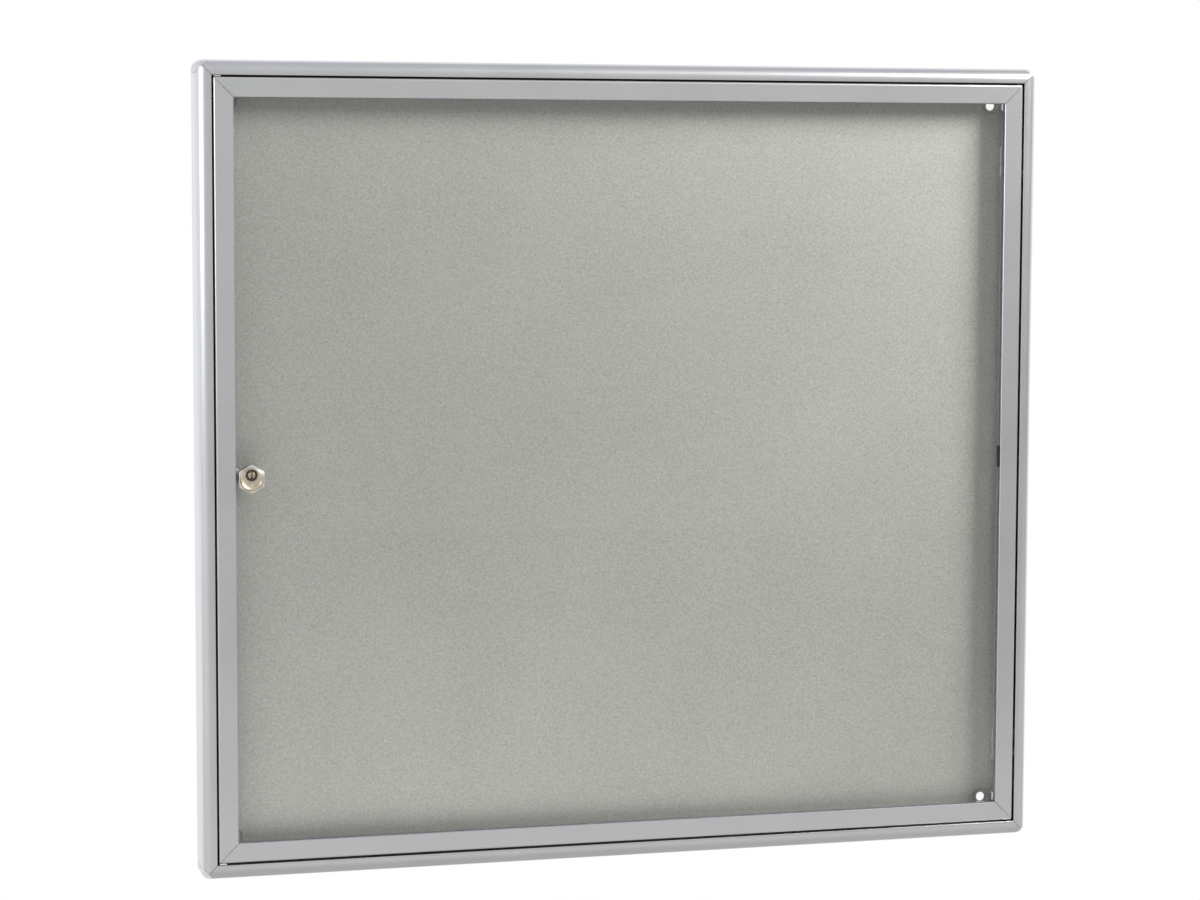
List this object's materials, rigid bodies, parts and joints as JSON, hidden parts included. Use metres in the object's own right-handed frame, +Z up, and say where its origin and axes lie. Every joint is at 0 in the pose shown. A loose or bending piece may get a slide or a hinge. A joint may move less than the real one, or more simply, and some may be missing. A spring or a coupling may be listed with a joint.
{
  "type": "notice board",
  "caption": "Wall-hung lockable notice board: slim silver aluminium case with rounded corners, a clear glazed door hinged on the right, a cam lock in the pane and a steel back panel.",
  "frame": {"origin": "centre of the case on the wall plane that its rear rims rest on", "axes": "+X to the right along the width as seen from the front, +Y into the wall, +Z up along the height"},
  "size_m": [0.75, 0.0327, 0.69],
  "materials": {
    "anodised_aluminium": "satin silver anodised",
    "silver_corner": "satin silver paint",
    "galvanised_steel": "fine-grained zinc surface",
    "clear_pane": "clear and smooth",
    "grey_gasket": "matte grey",
    "black_rubber": "matte black",
    "black_plastic": "matte black",
    "pale_nylon": "pale, slightly glossy",
    "zinc_plate": "bright zinc plated",
    "nickel_plate": "bright nickel plated",
    "brass": "satin, lightly nickelled"
  },
  "bodies": {
    "case": {"case_rail_top": "anodised_aluminium", "case_rail_bottom": "anodised_aluminium", "case_stile_left": "anodised_aluminium", "case_stile_right": "anodised_aluminium", "corner_connector_top_left": "silver_corner", "corner_connector_top_right": "silver_corner", "corner_connector_bottom_left": "silver_corner", "corner_connector_bottom_right": "silver_corner", "back_panel": "galvanised_steel", "door_seal_top": "black_rubber", "door_seal_bottom": "black_rubber", "door_seal_left": "black_rubber", "door_seal_right_upper": "black_rubber", "door_seal_right_middle": "black_rubber", "door_seal_right_lower": "black_rubber", "lock_keeper": "zinc_plate", "keeper_screw_upper": "zinc_plate", "keeper_screw_lower": "zinc_plate", "hinge_case_leaf_upper": "zinc_plate", "hinge_case_leaf_lower": "zinc_plate", "hinge_upper_case_screw_upper": "zinc_plate", "hinge_upper_case_screw_lower": "zinc_plate", "hinge_lower_case_screw_upper": "zinc_plate", "hinge_lower_case_screw_lower": "zinc_plate"},
    "door": {"door_rail_top": "anodised_aluminium", "door_rail_bottom": "anodised_aluminium", "door_stile_left": "anodised_aluminium", "door_stile_right": "anodised_aluminium", "door_guide_top": "pale_nylon", "door_guide_bottom": "pale_nylon", "door_cleat_top_left": "zinc_plate", "door_cleat_top_right": "zinc_plate", "door_cleat_bottom_left": "zinc_plate", "door_cleat_bottom_right": "zinc_plate", "pane": "clear_pane", "pane_gasket_top": "grey_gasket", "pane_gasket_bottom": "grey_gasket", "pane_gasket_left": "grey_gasket", "pane_gasket_right_upper": "grey_gasket", "pane_gasket_right_lower": "grey_gasket", "glazing_clip": "black_plastic", "hinge_door_leaf_upper": "zinc_plate", "hinge_door_leaf_lower": "zinc_plate", "hinge_pin_upper": "zinc_plate", "hinge_pin_lower": "zinc_plate", "hinge_upper_door_screw_upper": "zinc_plate", "hinge_upper_door_screw_lower": "zinc_plate", "hinge_lower_door_screw_upper": "zinc_plate", "hinge_lower_door_screw_lower": "zinc_plate", "lock_barrel": "brass", "lock_washer": "black_rubber", "lock_nut": "nickel_plate"},
    "latch": {"lock_plug": "brass", "lock_cam": "zinc_plate", "cam_screw": "zinc_plate"}
  },
  "joints": [
    {"name": "door_hinge", "type": "hinge", "parent": "case", "child": "door", "pos_m": [0.3577, -0.0262, 0], "axis": [0, 0, 1], "range_deg": [0, 100]},
    {"name": "lock_turn", "type": "hinge", "parent": "door", "child": "latch", "pos_m": [-0.3312, -0.0239, -0.0011], "axis": [0, 1, 0], "range_deg": [0, 90]}
  ]
}
